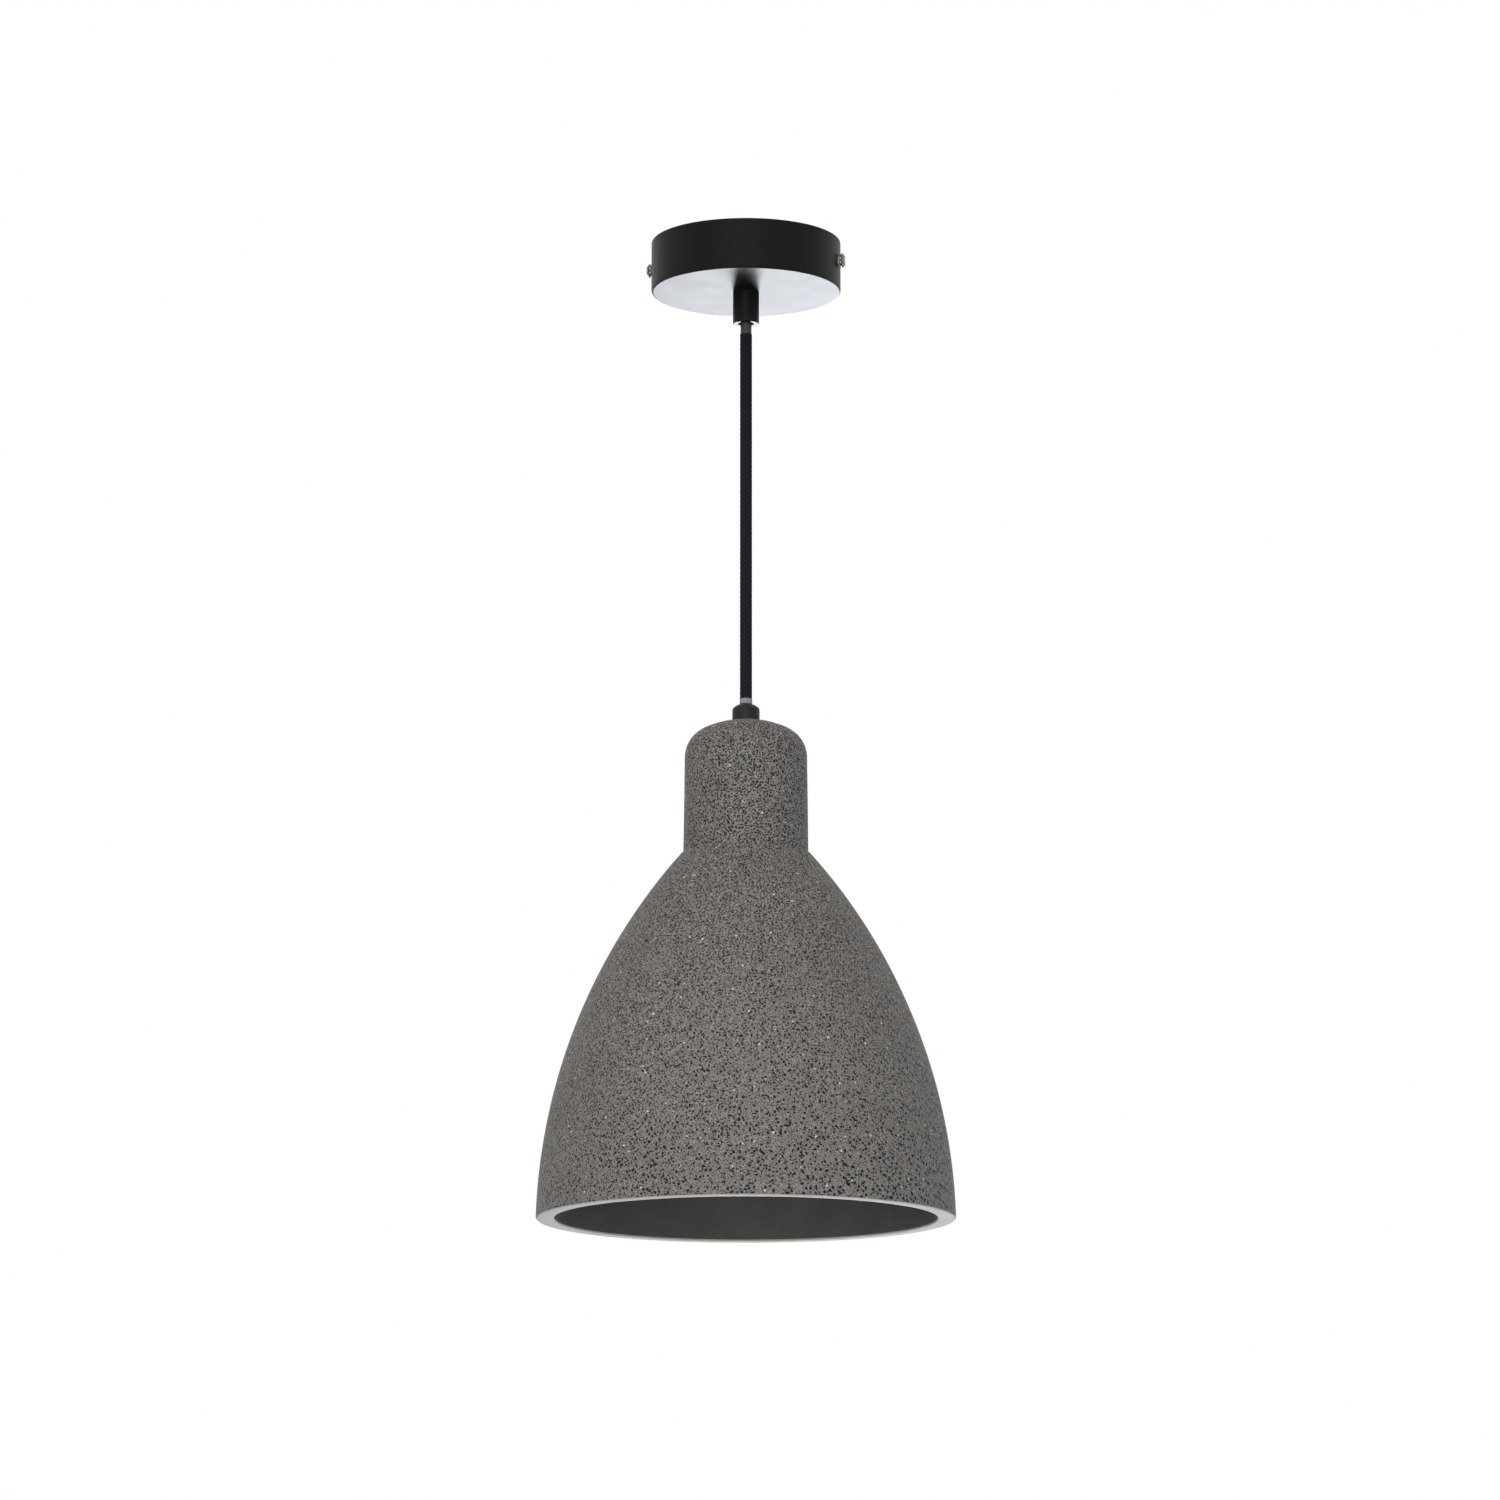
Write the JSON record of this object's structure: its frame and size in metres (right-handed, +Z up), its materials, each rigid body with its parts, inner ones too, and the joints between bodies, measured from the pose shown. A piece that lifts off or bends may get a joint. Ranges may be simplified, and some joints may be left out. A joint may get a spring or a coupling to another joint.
{
  "type": "pendant ceiling light",
  "caption": "Bell-shaped concrete pendant light with a thick pale rim, hung by a braided cord from a round black ceiling canopy, with lampholder, lamp and wiring inside.",
  "frame": {"origin": "on the light's axis in the ceiling plane, at the middle of the bracket's two slots", "axes": "+Z up to the ceiling, +X along the bracket towards one canopy screw, -Y towards the viewer"},
  "size_m": [0.2162, 0.2162, 0.5188],
  "materials": {
    "zinc_plated_steel": "bright zinc plate",
    "natural_plastic": "moulded, matt",
    "brass": "turned",
    "black_powder_coat": "fine satin powder coat",
    "nickel_plate": "bright nickel plate",
    "black_grip": "satin black",
    "dark_sheath": "extruded, matt",
    "brown_core": "extruded",
    "blue_core": "extruded",
    "black_rubber": "moulded, matt",
    "black_braid": "braided textile",
    "grey_weave": "woven binding",
    "speckled_concrete": "cast, fine black aggregate",
    "red_fibre": "punched",
    "black_thermoset": "pressed, glossy",
    "white_porcelain": "pressed, unglazed",
    "clear_glass": "blown, clear",
    "black_glass": "fused",
    "solder": "soldered",
    "filament_phosphor": "coated"
  },
  "bodies": {
    "ceiling_mount": {"ceiling_bracket": "zinc_plated_steel", "bracket_nuts": "zinc_plated_steel", "terminal_block": "natural_plastic", "terminal_tubes": "brass", "terminal_screws": "zinc_plated_steel", "terminal_fixing_screw": "zinc_plated_steel", "earth_screw": "brass", "earth_washer": "brass", "canopy_cup": "black_powder_coat", "upper_grip_body": "black_grip", "upper_grip_pinch_screw": "zinc_plated_steel", "upper_grip_washer": "zinc_plated_steel", "upper_grip_nut": "zinc_plated_steel", "sheath_tail_upper": "dark_sheath", "live_core_upper": "brown_core", "neutral_core_upper": "blue_core"},
    "canopy_screw_right": {"canopy_screw_right": "nickel_plate"},
    "canopy_screw_left": {"canopy_screw_left": "nickel_plate"},
    "upper_bush": {"upper_cord_bush": "black_rubber"},
    "cord_top": {"inner_sheath_top": "dark_sheath"},
    "cord": {"cord_braid": "black_braid", "inner_sheath_bottom": "dark_sheath", "cord_end_collar": "grey_weave"},
    "lower_bush": {"lower_cord_bush": "black_rubber"},
    "shade_assembly": {"lower_grip_body": "black_grip", "shade_gasket": "black_rubber", "shade": "speckled_concrete", "threaded_nipple": "zinc_plated_steel", "shade_fibre_washer": "red_fibre", "shade_steel_washer": "zinc_plated_steel", "shade_lock_nut": "zinc_plated_steel", "sheath_tail_lower": "dark_sheath", "live_core_lower": "brown_core", "neutral_core_lower": "blue_core", "lampholder_cap": "black_thermoset", "lampholder_set_screw": "zinc_plated_steel", "lampholder_body": "black_thermoset", "contact_carrier": "white_porcelain", "holder_thread_shell": "nickel_plate", "centre_contact": "brass", "holder_terminals": "brass", "holder_terminal_screws": "zinc_plated_steel"},
    "lamp": {"lamp_glass": "clear_glass", "lamp_cap": "nickel_plate", "lamp_insulator": "black_glass", "lamp_contact": "solder", "lamp_stem": "clear_glass", "lamp_filaments": "filament_phosphor", "lamp_leads": "solder"}
  },
  "joints": [
    {"name": "swing_front_back", "type": "hinge", "parent": "ceiling_mount", "child": "upper_bush", "pos_m": [0, 0, -0.0425], "axis": [1, 0, 0], "range_deg": [-20, 20]},
    {"name": "swing_sideways", "type": "hinge", "parent": "upper_bush", "child": "cord_top", "pos_m": [0, 0, -0.0425], "axis": [0, 1, 0], "range_deg": [-20, 20]},
    {"name": "cord_twist", "type": "hinge", "parent": "cord_top", "child": "cord", "pos_m": [0, 0, -0.0498], "axis": [0, 0, 1], "range_deg": [-180, 180]},
    {"name": "tilt_front_back", "type": "hinge", "parent": "cord", "child": "lower_bush", "pos_m": [0, 0, -0.2512], "axis": [1, 0, 0], "range_deg": [-15, 15]},
    {"name": "tilt_sideways", "type": "hinge", "parent": "lower_bush", "child": "shade_assembly", "pos_m": [0, 0, -0.2512], "axis": [0, 1, 0], "range_deg": [-15, 15]},
    {"name": "lamp_turn", "type": "hinge", "parent": "shade_assembly", "child": "lamp", "pos_m": [0, 0, -0.31275], "axis": [0, 0, 1], "continuous": true},
    {"name": "screw_turn_right", "type": "hinge", "parent": "ceiling_mount", "child": "canopy_screw_right", "pos_m": [0.05, 0, -0.0123], "axis": [1, 0, 0], "continuous": true},
    {"name": "screw_turn_left", "type": "hinge", "parent": "ceiling_mount", "child": "canopy_screw_left", "pos_m": [-0.05, 0, -0.0123], "axis": [-1, 0, 0], "continuous": true}
  ]
}
